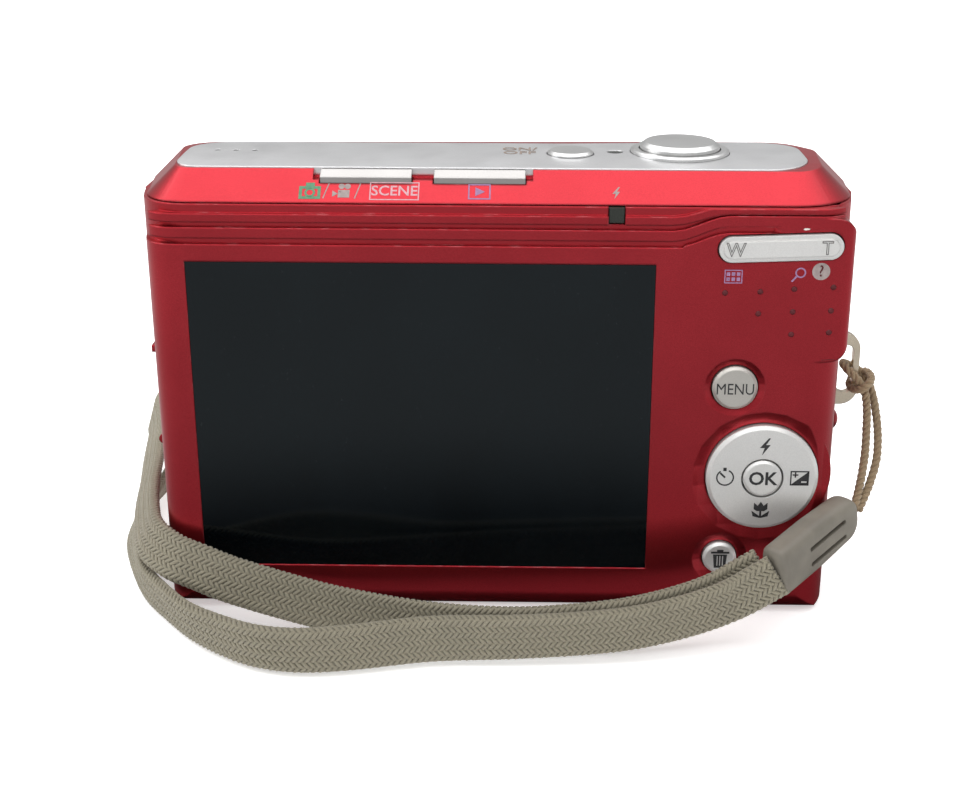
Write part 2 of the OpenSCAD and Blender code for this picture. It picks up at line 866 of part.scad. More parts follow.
module cover_blade_upper() {
    color(black) cover_blade(0);
}

module cover_blade_lower() {
    color(black) cover_blade(180);
}

module zoom_motor() {
    color(steel) {
        rod(lens_x + 15.4, lens_z - 16.6, 3.4, -2.8, 6.4);
        rod(lens_x + 15.4, lens_z - 16.6, 0.7, 6.3, 8.2);
    }
    color([0.9, 0.88, 0.8]) rod(lens_x + 15.4, lens_z - 16.6, 1.8, 6.9, 7.9);
}

module sensor_board() {
    color(green) box([lens_x - 9, -8.15, lens_z - 8], [lens_x + 9, -7.05, lens_z + 8]);
    color([0.1, 0.1, 0.16]) box([lens_x - 3.6, -7.1, lens_z - 2.7], [lens_x + 3.6, -5.8, lens_z + 2.7]);
}

module flash_window() {
    color([0.85, 0.87, 0.88, 0.6]) box([1, 9.4, 53.5], [15, front_y + 0.2, 59.4]);
}

module flash_unit() {
    color(silver) difference() {
        box([1.4, 4.6, 53.9], [14.6, 9.3, 59.1]);
        box([2, 6, 54.5], [14, 10, 58.5]);
    }
    color([0.9, 0.92, 0.95]) translate([1.6, 7.6, 56.5]) rotate([0, 90, 0]) cylinder(r = 0.8, h = 12.8);
}

module flash_capacitor() {
    color(black) post(-39.4, 2, 4.4, 10, 38);
}

module timer_lamp() {
    color([0.9, 0.5, 0.2, 0.6]) rod(-30, 54.5, 1.75, 8.4, front_y + 0.05);
}

module speaker() {
    color(black) post(-37, 1, 4.4, 57.2, 59.4);
    color(steel) post(-37, 1, 3, 59.3, 59.8);
}

module card_socket() {
    color(steel) difference() {
        box([16, -7.9, 4.2], [41.6, -4.1, 30]);
        box([16.6, -7.2, 4], [41, -4.8, 29.2]);
    }
}

module memory_card() {
    color([0.06, 0.1, 0.3]) difference() {
        box([16.8, -7.05, 3], [40.8, -4.95, 26.6]);
        translate([16.8, -8, 26.6]) rotate([0, 45, 0]) cube([4.6, 5, 4.6], center = true);
        box([40.1, -8, 15], [41, -4, 18.5]);
    }
}

module usb_socket() {
    color(steel) difference() {
        box([-46.6, -8.15, 26.4], [-41.8, -4.2, 34.6]);
        box([-48, -7.6, 26.9], [-42.4, -4.7, 34.1]);
    }
    color(black) box([-46.2, -6.4, 27.8], [-42.3, -5.9, 33.2]);
}

module port_cover() {
    color(red) {
        difference() {
            intersection() {
                block();
                box([-60, port_y[0], port_z[0]], [-47, port_y[1], port_z[1]]);
            }
            box([-47.2, port_y[0] + 0.9, port_z[0] + 1.5], [-40, port_y[1] - 0.9, port_z[1] - 1.5]);
        }
        box([-49.1, -7.2, port_z[1] - 1.6], [-48.2, -4.8, port_z[1] - 0.6]);
        rod(-48, 23.5, 0.75, port_y[0] + 0.2, port_y[1] - 0.2);
    }
}

module strap_eyelet() {
    color([0.72, 0.62, 0.50]) along_y(eyelet_y - 0.6, eyelet_y + 0.6) difference() {
        union() {
            intersection() {
                hull() for (s = [-1, 1]) {
                    translate([half_w + 1, eyelet_z + s * 3]) circle(r = 2.5);
                    translate([half_w - 2, eyelet_z + s * 3]) circle(r = 2.5);
                }
                translate([half_w + 0.05, eyelet_z - 10]) square([10, 20]);
            }
            translate([half_w - 2.2, eyelet_z - 3.3]) square([2.4, 6.6]);
        }
        hull() for (s = [-1, 1]) translate([half_w + 1.5, eyelet_z + s * 2.6]) circle(r = 1.1);
    }
}

module screws() {
    color(steel) for (p = screw_spots) difference() {
        post(p[0], p[1], 1.5, 0.02, 1.38);
        box([p[0] - 1, p[1] - 0.2, -1], [p[0] + 1, p[1] + 0.2, 0.4]);
        box([p[0] - 0.2, p[1] - 1, -1], [p[0] + 0.2, p[1] + 1, 0.4]);
    }
}

// Closed skin over rings of points, each ring given in order round the section.
module skin(rings) {
    n = len(rings[0]);
    m = len(rings);
    polyhedron(
        points = [for (r = rings) each r],
        faces = concat(
            [[for (k = [0:n - 1]) k]],
            [for (i = [0:m - 2], k = [0:n - 1]) [i * n + k, (i + 1) * n + k, (i + 1) * n + (k + 1) % n]],
            [for (i = [0:m - 2], k = [0:n - 1]) [i * n + k, (i + 1) * n + (k + 1) % n, i * n + (k + 1) % n]],
            [[for (k = [n - 1:-1:0]) (m - 1) * n + k]]
        )
    );
}

// Section of the webbing: a flat bar with bevelled edges, leaning by the route's angle.
function web_ring(i) =
    let (
        p = web_route[i],
        t = tangent(web_route, i),
        across = unit(cross([0, 0, 1], t)),
        up = unit(cross(t, across)),
        wide = up * sin(p[3]) - across * cos(p[3]),
        thin = unit(cross(t, wide)),
        a = web_w / 2,
        b = web_t / 2
    )
    [for (q = [[a, b / 2], [a - 0.6, b], [0.6 - a, b], [-a, b / 2],
               [-a, -b / 2], [0.6 - a, -b], [a - 0.6, -b], [a, -b / 2]])
        xyz(p) + wide * q[0] + thin * q[1]];

function cord_ring(i) =
    let (
        t = tangent(cord_route, i),
        a = unit(cross([0.31, 0.9, 0.3], t)),
        b = cross(t, a)
    )
    [for (k = [0:7]) cord_route[i] + cord_d / 2 * (a * cos(45 * k) + b * sin(45 * k))];

module strap_cord() {
    color(khaki) skin([for (i = [0:len(cord_route) - 1]) cord_ring(i)]);
}

module strap_webbing() {
    color(khaki) skin([for (i = [0:len(web_route) - 1]) web_ring(i)]);
}

module strap_junction() {
    color([0.45, 0.43, 0.38])
        translate(junction_mid) rotate([0, 0, 43]) rotate([0, -12.5, 0])
            difference() {
                along_y(-junction_t / 2, junction_t / 2) hull() {
                    translate([-junction_len / 2, -junction_w / 2]) square([1, junction_w]);
                    translate([junction_len / 2 - 3.2, 0]) circle(r = 3.2);
                    translate([junction_len / 4, -junction_w / 2 + 0.4]) square([1, junction_w - 0.8]);
                }
                for (s = [-1, 1]) box([-3.4, -junction_t / 2 - 1, s * 1.2 - 0.35],
                                      [4.6, -junction_t / 2 + 1, s * 1.2 + 0.35]);
            }
}

front_cover();
rear_cover();
top_cover();
top_plate();
chassis();
battery_holder();
cell_inner();
cell_outer();
cell_contacts();
door_carriage();
battery_door();
door_contact();
tripod_socket();
screen_window();
screen_panel();
screen_tray();
main_board();
key_board();
zoom_rocker();
menu_button();
selector_gimbal();
selector_disc();
ok_button();
delete_button();
mode_button();
play_button();
top_key_board();
power_button();
shutter_collar();
shutter_button();
power_lamp();
ready_lamp();
lens_housing();
lens_ring();
outer_barrel();
inner_barrel();
front_lens();
rear_lens();
cover_blade_upper();
cover_blade_lower();
zoom_motor();
sensor_board();
flash_window();
flash_unit();
flash_capacitor();
timer_lamp();
speaker();
card_socket();
memory_card();
usb_socket();
port_cover();
strap_eyelet();
screws();
strap_cord();
strap_junction();
strap_webbing();
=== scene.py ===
"""Looks of the compact digital camera with its braided wrist strap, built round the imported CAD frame."""
import json
import math

import bmesh
import bpy
import numpy as np
from mathutils import Matrix, Vector


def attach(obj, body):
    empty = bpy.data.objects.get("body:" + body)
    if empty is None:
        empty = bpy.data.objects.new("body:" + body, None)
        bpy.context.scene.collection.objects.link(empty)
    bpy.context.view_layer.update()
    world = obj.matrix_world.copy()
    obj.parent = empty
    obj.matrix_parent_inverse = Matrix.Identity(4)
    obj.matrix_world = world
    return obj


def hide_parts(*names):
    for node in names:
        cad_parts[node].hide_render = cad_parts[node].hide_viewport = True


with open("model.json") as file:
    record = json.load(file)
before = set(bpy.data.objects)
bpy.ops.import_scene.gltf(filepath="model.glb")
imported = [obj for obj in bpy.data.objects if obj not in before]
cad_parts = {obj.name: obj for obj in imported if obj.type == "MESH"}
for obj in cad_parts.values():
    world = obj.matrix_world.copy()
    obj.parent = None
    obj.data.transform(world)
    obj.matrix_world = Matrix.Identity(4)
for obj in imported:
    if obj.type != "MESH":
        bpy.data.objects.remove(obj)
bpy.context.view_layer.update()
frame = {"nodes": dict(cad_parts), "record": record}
NODES = frame["nodes"]
MM = 0.001
UP = np.array([0.0, 0.0, 1.0])

# Faces of the CAD parts that the printed marks lie on, in millimetres
REAR_Y = -15.0
MENU_FACE = -15.4
DELETE_FACE = -15.3
OK_FACE = -15.85
DISC_FACE = -15.6
ROCKER_FACE = -15.9
PLATE_TOP = 64.32
PRINT = 0.02            # how far a mark stands off its face
OVER = 0.02             # how much further a mark on another mark stands off

# The sloping shoulder above the rear face: its lower edge and its angle
SLOPE_FOOT = (-13.9, 60.05)
SLOPE = math.atan2(4.25, 4.4)


def link(obj):
    bpy.context.scene.collection.objects.link(obj)
    return obj


# ---------------------------------------------------------------- camera

# Where the camera stands, in millimetres, and how it is turned, in radians
EYE = (4.60, -194.51, 105.80)
YAW, PITCH, ROLL = -0.0128, 0.3197, -0.0042


def make_camera():
    """Camera at the photograph's viewing angle, behind the object and looking down on it."""
    data = bpy.data.cameras.new("camera")
    cam = link(bpy.data.objects.new("camera", data))
    forward = Vector((math.sin(YAW) * math.cos(PITCH), math.cos(YAW) * math.cos(PITCH), -math.sin(PITCH)))
    turn = forward.to_track_quat("-Z", "Y").to_matrix() @ Matrix.Rotation(-ROLL, 3, "Z")
    cam.matrix_world = Matrix.Translation(Vector(EYE) * MM) @ turn.to_4x4()
    data.sensor_width = 36
    data.lens = 52.71
    data.shift_x = -0.0334
    data.shift_y = -0.0982
    data.clip_start = 0.01
    data.clip_end = 20
    bpy.context.scene.camera = cam


make_camera()


# ------------------------------------------------------------- materials

class Paint:
    """A Principled material with a few node helpers, worked in millimetres of the object."""

    def __init__(self, name, colour, rough, metal=0.0, **fixed):
        self.mat = bpy.data.materials.new(name)
        self.mat.use_nodes = True
        self.tree = self.mat.node_tree
        self.bsdf = self.tree.nodes["Principled BSDF"]
        self.set("Base Color", (*colour, 1))
        self.set("Roughness", rough)
        self.set("Metallic", metal)
        for key, value in fixed.items():
            self.set(key.replace("_", " "), value)
        coords = self.node("ShaderNodeTexCoord")
        self.coords = coords.outputs["Object"]
        self.normal = None

    def node(self, kind, **props):
        made = self.tree.nodes.new(kind)
        for key, value in props.items():
            setattr(made, key, value)
        return made

    def set(self, socket, value):
        self.bsdf.inputs[socket].default_value = value

    def wire(self, a, b):
        self.tree.links.new(a, b)

    def stretched(self, scale):
        mapping = self.node("ShaderNodeMapping")
        mapping.inputs["Scale"].default_value = scale
        self.wire(self.coords, mapping.inputs["Vector"])
        return mapping.outputs["Vector"]

    def noise(self, size, detail=3.0, stretch=None):
        """Noise whose features are about size millimetres across."""
        tex = self.node("ShaderNodeTexNoise")
        tex.inputs["Scale"].default_value = 1 / (size * MM)
        tex.inputs["Detail"].default_value = detail
        self.wire(self.stretched(stretch) if stretch else self.coords, tex.inputs["Vector"])
        return tex.outputs["Fac"]

    def ramp(self, fac, stops):
        made = self.node("ShaderNodeValToRGB")
        ramp = made.color_ramp
        for i, (place, value) in enumerate(stops):
            stop = ramp.elements[i] if i < 2 else ramp.elements.new(place)
            stop.position = place
            stop.color = (*value, 1) if isinstance(value, tuple) else (value, value, value, 1)
        self.wire(fac, made.inputs["Fac"])
        return made.outputs["Color"]

    def mix(self, fac, a, b, kind="MIX"):
        made = self.node("ShaderNodeMix", data_type="RGBA", blend_type=kind)
        for socket, value in ((made.inputs[0], fac), (made.inputs[6], a), (made.inputs[7], b)):
            if isinstance(value, bpy.types.NodeSocket):
                self.wire(value, socket)
            elif isinstance(value, tuple):
                socket.default_value = (*value, 1)
            else:
                socket.default_value = value
        return made.outputs[2]

    def colour(self, socket):
        self.wire(socket, self.bsdf.inputs["Base Color"])

    def rough(self, fac, low, high):
        span = self.node("ShaderNodeMapRange")
        span.inputs["To Min"].default_value = low
        span.inputs["To Max"].default_value = high
        self.wire(fac, span.inputs["Value"])
        self.wire(span.outputs["Result"], self.bsdf.inputs["Roughness"])

    def bump(self, fac, depth, strength=1.0):
        """Relief whose full height is depth millimetres."""
        made = self.node("ShaderNodeBump")
        made.inputs["Distance"].default_value = depth * MM
        made.inputs["Strength"].default_value = strength
        self.wire(fac, made.inputs["Height"])
        if self.normal:
            self.wire(self.normal, made.inputs["Normal"])
        self.normal = made.outputs["Normal"]
        self.wire(self.normal, self.bsdf.inputs["Normal"])

    def soft_edges(self, radius):
        made = self.node("ShaderNodeBevel", samples=4)
        made.inputs["Radius"].default_value = radius * MM
        self.normal = made.outputs["Normal"]
        self.wire(self.normal, self.bsdf.inputs["Normal"])

    def edge_wear(self, radius):
        """Grey value that is high along sharp edges, broken up by noise."""
        made = self.node("ShaderNodeBevel", samples=4)
        made.inputs["Radius"].default_value = radius * MM
        geometry = self.node("ShaderNodeNewGeometry")
        dot = self.node("ShaderNodeVectorMath", operation="DOT_PRODUCT")
        self.wire(made.outputs["Normal"], dot.inputs[0])
        self.wire(geometry.outputs["Normal"], dot.inputs[1])
        edge = self.ramp(dot.outputs["Value"], [(0.80, 1.0), (0.97, 0.0)])
        broken = self.ramp(self.noise(2.2, 5), [(0.52, 0.0), (0.66, 1.0)])
        return self.mix(1.0, edge, broken, "MULTIPLY")


def shades(colour, down, up):
    """A darker and a lighter shade of a colour, by the given shares."""
    return tuple(c * (1 - down) for c in colour), tuple(min(1.0, c * (1 + up)) for c in colour)


def red_paint():
    """Metallic red with fine flake, faint clouds and pale wear along the sharp edges."""
    paint = Paint("red_paint", (0.42, 0.02, 0.035), 0.36, 0.95, Coat_Weight=0.2, Coat_Roughness=0.12)
    paint.soft_edges(0.35)
    flake = paint.noise(0.09, 2)
    cloud = paint.noise(9, 4)
    base = paint.mix(paint.ramp(flake, [(0.3, 0.0), (0.7, 1.0)]), (0.40, 0.022, 0.032), (0.56, 0.036, 0.050))
    base = paint.mix(paint.ramp(cloud, [(0.35, 0.0), (0.65, 0.2)]), base, (0.35, 0.018, 0.026))
    worn = paint.edge_wear(0.25)
    base = paint.mix(paint.mix(1.0, worn, (0.35, 0.35, 0.35), "MULTIPLY"), base, (0.72, 0.36, 0.38))
    paint.colour(base)
    paint.rough(cloud, 0.32, 0.40)
    paint.bump(flake, 0.012, 0.35)
    return paint.mat


def metal_paint(name, colour, rough, brushed=None, soft=0.15, vary=0.06, metal=1.0):
    """Bare or plated metal with fine grain and faint smears. brushed stretches the grain along an axis."""
    paint = Paint(name, colour, rough, metal)
    paint.soft_edges(soft)
    grain = paint.noise(0.14, 3, brushed)
    smear = paint.noise(5, 4)
    darker, lighter = shades(colour, 2 * vary, vary)
    base = paint.mix(paint.ramp(grain, [(0.3, 0.0), (0.7, 1.0)]), darker, lighter)
    base = paint.mix(paint.ramp(smear, [(0.45, 0.0), (0.75, 0.5)]), base, darker)
    paint.colour(base)
    paint.rough(smear, max(0.05, rough - 0.06), rough + 0.08)
    paint.bump(grain, 0.006, 0.5)
    return paint.mat


def plastic(name, colour, rough, grain=0.2, depth=0.01, soft=0.15, vary=0.12):
    """Moulded plastic with a fine grain of the given size and depth in millimetres."""
    paint = Paint(name, colour, rough)
    paint.soft_edges(soft)
    fine = paint.noise(grain, 3)
    broad = paint.noise(4, 4)
    darker, lighter = shades(colour, vary, vary)
    paint.colour(paint.mix(paint.ramp(broad, [(0.35, 0.0), (0.65, 1.0)]), darker, lighter))
    paint.rough(broad, max(0.03, rough - 0.05), rough + 0.06)
    paint.bump(fine, depth, 0.5)
    return paint.mat


def clear(name, colour, rough=0.02):
    """Clear glass or plastic."""
    paint = Paint(name, colour, rough, 0.0, Transmission_Weight=0.9, IOR=1.5, Coat_Weight=0.4)
    paint.rough(paint.noise(3, 3), rough, rough + 0.03)
    return paint.mat


def window_black():
    """Gloss black screen window with faint smears and specks of dust."""
    paint = Paint("window_black", (0.002, 0.003, 0.004), 0.06, 0.0, IOR=1.36,
                  Specular_Tint=(0.84, 0.95, 1, 1))
    smear = paint.noise(14, 5, (1, 1, 0.6))
    dust = paint.ramp(paint.noise(0.35, 1), [(0.74, 0.0), (0.80, 1.0)])
    base = paint.mix(paint.ramp(smear, [(0.35, 0.0), (0.7, 1.0)]),
                     (0.0006, 0.0012, 0.0018), (0.0014, 0.0026, 0.0036))
    specks = paint.mix(1.0, dust, (0.25, 0.25, 0.25), "MULTIPLY")
    paint.colour(paint.mix(specks, base, (0.03, 0.035, 0.037)))
    paint.rough(smear, 0.05, 0.13)
    return paint.mat


def woven(name, colour, dark, fibre=0.07):
    """Thread made of fine fibres, fibre millimetres across, with soiled patches."""
    paint = Paint(name, colour, 0.78, 0.0, Sheen_Weight=0.2, Sheen_Roughness=0.5)
    thread = paint.noise(fibre, 4)
    broad = paint.noise(7, 4)
    base = paint.mix(paint.ramp(thread, [(0.28, 0.0), (0.66, 1.0)]), dark, colour)
    stain = tuple(c * 0.62 for c in colour)
    paint.colour(paint.mix(paint.ramp(broad, [(0.5, 0.0), (0.78, 0.55)]), base, stain))
    paint.rough(thread, 0.68, 0.9)
    paint.bump(thread, 0.05, 0.7)
    return paint.mat


def printed(name, colour, worn=0.0):
    """Printed ink. With worn above 0 it has rubbed through in places."""
    paint = Paint(name, colour, 0.5)
    patch = paint.noise(0.5, 5)
    faded = tuple(min(1.0, c * 1.25 + 0.01) for c in colour)
    paint.colour(paint.mix(paint.ramp(patch, [(0.4, 0.0), (0.7, 1.0)]), colour, faded))
    paint.rough(patch, 0.4, 0.6)
    if worn:
        low = 0.24 + 0.2 * worn
        holes = paint.ramp(patch, [(low, 0.0), (low + 0.06, 1.0)])
        paint.wire(holes, paint.bsdf.inputs["Alpha"])
    return paint.mat


RED = red_paint()
PLATE = metal_paint("plate_silver", (0.88, 0.88, 0.89), 0.34, (1, 30, 30), 0.3)
KEYS = metal_paint("key_silver", (0.80, 0.795, 0.78), 0.36, None, 0.2, 0.03, 0.6)
DULL_KEY = metal_paint("dull_key", (0.60, 0.58, 0.54), 0.38, None, 0.2, 0.04, 0.7)
TOP_STEEL = metal_paint("top_steel", (0.80, 0.80, 0.795), 0.30, None, 0.2, 0.05)
TOP_KEYS = metal_paint("top_key", (0.48, 0.465, 0.455), 0.33, None, 0.2, 0.04)
STEEL = metal_paint("steel", (0.60, 0.61, 0.63), 0.35, (30, 1, 1))
DARK_METAL = metal_paint("dark_metal", (0.15, 0.15, 0.16), 0.32, (1, 30, 1))
BRASS = metal_paint("brass", (0.78, 0.60, 0.30), 0.3)
CHAMPAGNE = metal_paint("eyelet_metal", (0.80, 0.70, 0.56), 0.26)
BLACK = plastic("black_plastic", (0.02, 0.02, 0.022), 0.5)
BLADE = plastic("blade_black", (0.025, 0.025, 0.028), 0.35, 0.1, 0.004)
GREEN = plastic("board_green", (0.02, 0.14, 0.07), 0.4, 0.5, 0.02)
CARD = plastic("card_blue", (0.03, 0.06, 0.18), 0.4)
WRAP = plastic("cell_wrap", (0.50, 0.42, 0.14), 0.25, 1.0, 0.004)
RUBBER = plastic("end_grey", (0.175, 0.159, 0.13), 0.52, 0.25, 0.02, 0.2, 0.12)
WINDOW = window_black()
PANEL = plastic("screen_cell", (0.03, 0.035, 0.035), 0.2)
LAMP = plastic("lamp_dark", (0.012, 0.016, 0.011), 0.2, 0.3, 0.002)
LENS = clear("lens_glass", (0.62, 0.68, 0.80))
CLEAR = clear("clear_plastic", (0.92, 0.94, 0.94), 0.08)
AMBER = clear("amber_plastic", (0.9, 0.45, 0.15), 0.08)
WEB = woven("web_khaki", (0.33, 0.30, 0.222), (0.125, 0.11, 0.076))
# Near-black core inside the braid: painted shade that shows through the gaps between the strands
WEB_CORE_SHADE = woven("web_core_shade", (0.035, 0.029, 0.02), (0.02, 0.017, 0.012))
CORD = woven("cord_tan", (0.37, 0.27, 0.16), (0.16, 0.11, 0.06), 0.05)
INK_BLACK = printed("ink_black", (0.02, 0.02, 0.022))
INK_MENU = printed("ink_menu", (0.02, 0.02, 0.022), 0.1)
INK_GREEN = printed("ink_green", (0.07, 0.21, 0.11))
INK_GREY = printed("ink_grey", (0.28, 0.23, 0.22), 0.1)
INK_PINK = printed("ink_pink", (0.52, 0.30, 0.33), 0.05)
INK_LILAC = printed("ink_lilac", (0.26, 0.14, 0.27), 0.1)
INK_PLATE = printed("ink_plate", (0.22, 0.17, 0.14))
ENGRAVED = printed("engraved", (0.15, 0.145, 0.14))
PIT = plastic("pit_red", (0.10, 0.004, 0.008), 0.45)
CHIP = plastic("chip_white", (0.75, 0.70, 0.66), 0.5)
# Near-black for the discs inside the sound holes: painted shade of the holes' depth
HOLE_SHADE_PAINT = plastic("hole_shade", (0.01, 0.009, 0.009), 0.7)

FINISH = {
    "red_metal": RED, "silver_plate": PLATE, "silver_keys": KEYS, "steel": STEEL,
    "screen_black": WINDOW, "screen_cell": PANEL, "blade_black": BLADE, "black_plastic": BLACK,
    "dark_metal": DARK_METAL, "board_green": GREEN, "brass": BRASS, "eyelet_metal": CHAMPAGNE,
    "lens_glass": LENS, "clear_plastic": CLEAR, "amber_plastic": AMBER, "lamp_dark": LAMP,
    "cell_wrap": WRAP, "card_blue": CARD, "web_khaki": WEB, "cord_tan": CORD, "end_grey": RUBBER,
}


# Nodes of the silver slots that are darker than the rear keys.
NODE_FINISH = {
    "shutter_button": TOP_STEEL, "shutter_collar": TOP_STEEL, "power_button": TOP_STEEL,
    "mode_button": TOP_KEYS, "play_button": TOP_KEYS, "menu_button": DULL_KEY,
}


def dress_nodes():
    """Gives each CAD node its own finish, or else the finish of its material slot."""
    for part in frame["record"]["subparts"]:
        obj = NODES[part["node"]]
        obj.data.materials.clear()
        obj.data.materials.append(NODE_FINISH.get(part["node"], FINISH[part["material_slot"]]))


dress_nodes()


# --------------------------------------------------------- mesh building

def inside_out(mesh):
    """Whether a closed mesh has its faces turned inwards, from the sign of its volume."""
    mesh.calc_loop_triangles()
    corners = np.empty(len(mesh.loop_triangles) * 3, np.int32)
    mesh.loop_triangles.foreach_get("vertices", corners)
    co = np.empty(len(mesh.vertices) * 3)
    mesh.vertices.foreach_get("co", co)
    a, b, c = co.reshape(-1, 3)[corners.reshape(-1, 3)].transpose(1, 0, 2)
    return np.einsum("ij,ij->i", a, np.cross(b, c)).sum() < 0


def solid(name, verts, faces, mat, body, smooth=True):
    """A piece from vertices in millimetres that rides on a body."""
    mesh = bpy.data.meshes.new(name)
    mesh.from_pydata((np.asarray(verts, float) * MM).tolist(), [], [list(map(int, f)) for f in faces])
    mesh.update()
    if inside_out(mesh):
        mesh.flip_normals()
    mesh.materials.append(mat)
    mesh.polygons.foreach_set("use_smooth", [smooth] * len(mesh.polygons))
    obj = link(bpy.data.objects.new(name, mesh))
    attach(obj, body)
    return obj


def unit(v):
    return v / np.linalg.norm(v, axis=-1, keepdims=True)


def spline(points, step):
    """Catmull-Rom curve through rows of points, sampled about every step along its first three columns."""
    pts = np.asarray(points, float)
    ext = np.vstack([2 * pts[0] - pts[1], pts, 2 * pts[-1] - pts[-2]])
    out = []
    for i in range(1, len(ext) - 2):
        p0, p1, p2, p3 = ext[i - 1:i + 3]
        count = max(2, int(np.ceil(np.linalg.norm((p2 - p1)[:3]) / step)))
        t = np.linspace(0, 1, count, endpoint=False)[:, None]
        out.append(0.5 * (2 * p1 + (p2 - p0) * t + (2 * p0 - 5 * p1 + 4 * p2 - p3) * t ** 2
                          + (3 * p1 - p0 - 3 * p2 + p3) * t ** 3))
    out.append(ext[-2][None, :])
    return np.vstack(out)


def lengths(path):
    return np.concatenate([[0], np.cumsum(np.linalg.norm(np.diff(path[:, :3], axis=0), axis=1))])


def tube_faces(rings, sides, first=0, capped=True):
    """Quads of a closed tube of rings, each with the same number of sides."""
    k = np.arange(sides)
    nxt = (k + 1) % sides
    base = first + np.arange(rings - 1)[:, None] * sides
    quads = np.stack([base + k, base + nxt, base + sides + nxt, base + sides + k], axis=-1).reshape(-1, 4)
    faces = quads.tolist()
    if capped:
        faces.append((first + k[::-1]).tolist())
        faces.append((first + (rings - 1) * sides + k).tolist())
    return faces


def sweep(centres, side, out, half_w, half_t, sides=6):
    """Vertices of an elliptical section carried along centres, with its side and outward directions."""
    angle = 2 * np.pi * np.arange(sides) / sides
    ring = (np.cos(angle)[None, :, None] * side[:, None, :] * half_w
            + np.sin(angle)[None, :, None] * out[:, None, :] * half_t)
    return (centres[:, None, :] + ring).reshape(-1, 3)


# ----------------------------------------------------------------- strap

# Places along the middle of the webbing in millimetres, and its lean in degrees (90 is on edge)
WEB_ROUTE = [
    (38.4, -24.7, 11.5, 88), (37.1, -24.8, 10.7, 88), (32.6, -25.2, 8.0, 88), (27.2, -26.4, 6.4, 88),
    (20.0, -27.8, 5.2, 88), (12.8, -28.6, 4.6, 88), (2.8, -29.0, 4.1, 86), (-8.3, -29.2, 3.8, 80),
    (-19.0, -31.4, 3.7, 82), (-25.8, -32.2, 3.7, 86), (-31.4, -31.3, 3.7, 90), (-36.2, -29.0, 3.7, 94),
    (-41.4, -25.4, 3.7, 100), (-45.9, -20.4, 3.6, 100), (-50.4, -14.3, 3.45, 96), (-53.7, -6.8, 3.45, 84),
    (-56.3, 1.5, 3.45, 70), (-56.9, 8.0, 3.4, 62), (-56.8, 14.0, 3.4, 60), (-56.2, 21.0, 3.5, 68),
    (-55.4, 29.0, 3.7, 80), (-53.6, 37.0, 3.7, 88), (-50.0, 43.6, 3.7, 90), (-45.8, 48.8, 3.7, 90),
    (-44.4, 55.0, 3.7, 90), (-47.0, 60.8, 3.7, 90), (-52.6, 63.8, 3.7, 90), (-58.6, 62.0, 3.7, 90),
    (-62.6, 57.0, 3.9, 92), (-64.2, 50.0, 4.6, 98), (-63.7, 43.0, 5.5, 106), (-61.3, 35.0, 7.2, 112),
    (-59.0, 26.0, 8.8, 118), (-56.8, 16.5, 10.2, 120), (-55.0, 8.0, 10.6, 120), (-53.6, 0.0, 10.5, 120),
    (-51.9, -7.0, 10.4, 120), (-49.6, -13.6, 10.3, 120), (-45.6, -17.6, 9.6, 120), (-41.4, -18.9, 8.5, 120),
    (-36.8, -20.0, 7.2, 119), (-28.0, -21.4, 5.2, 114), (-20.4, -23.0, 4.2, 108), (-9.0, -25.3, 3.7, 100),
    (2.6, -26.4, 3.8, 94), (12.6, -26.1, 4.4, 92), (19.6, -25.3, 5.1, 92), (26.4, -24.0, 6.4, 92),
    (31.6, -22.9, 8.1, 92), (35.2, -22.9, 10.4, 92), (36.9, -22.9, 11.5, 92),
]
WEB_WIDTH = 6.6
WEB_THICK = 1.7

# The braid: strands each way round, half a strand's thickness, and how far a strand rises over another
STRANDS = 16
STRAND_THICK = 0.20
RISE = 0.13
STRAND_COVER = 0.95     # share of its spacing that a strand fills
RINGS_PER_TURN = 44
CORE_GAP = 0.12


def web_frames():
    """Places, tangents, width and thickness directions along the webbing, every half millimetre."""
    line = spline(WEB_ROUTE, 0.5)
    place = line[:, :3]
    lean = np.radians(line[:, 3])[:, None]
    tangent = unit(np.gradient(place, axis=0))
    across = unit(np.cross(UP, tangent))
    up = unit(np.cross(tangent, across))
    wide = up * np.sin(lean) - across * np.cos(lean)
    return place, wide, unit(np.cross(tangent, wide))


def outline(q, flat, radius):
    """Point and outward direction at distance q round a stadium with straight half-length flat."""
    end = math.pi * radius
    total = 4 * flat + 2 * end
    q = np.mod(q, total)
    x = np.empty_like(q)
    y = np.empty_like(q)
    nx = np.empty_like(q)
    ny = np.empty_like(q)
    top = q < 2 * flat
    right = (q >= 2 * flat) & (q < 2 * flat + end)
    low = (q >= 2 * flat + end) & (q < 4 * flat + end)
    left = q >= 4 * flat + end
    x[top], y[top], nx[top], ny[top] = q[top] - flat, radius, 0, 1
    a = (q[right] - 2 * flat) / radius
    nx[right], ny[right] = np.sin(a), np.cos(a)
    x[right], y[right] = flat + radius * np.sin(a), radius * np.cos(a)
    x[low], y[low], nx[low], ny[low] = flat - (q[low] - 2 * flat - end), -radius, 0, -1
    a = (q[left] - 4 * flat - end) / radius
    nx[left], ny[left] = -np.sin(a), -np.cos(a)
    x[left], y[left] = -flat - radius * np.sin(a), -radius * np.cos(a)
    return x, y, nx, ny


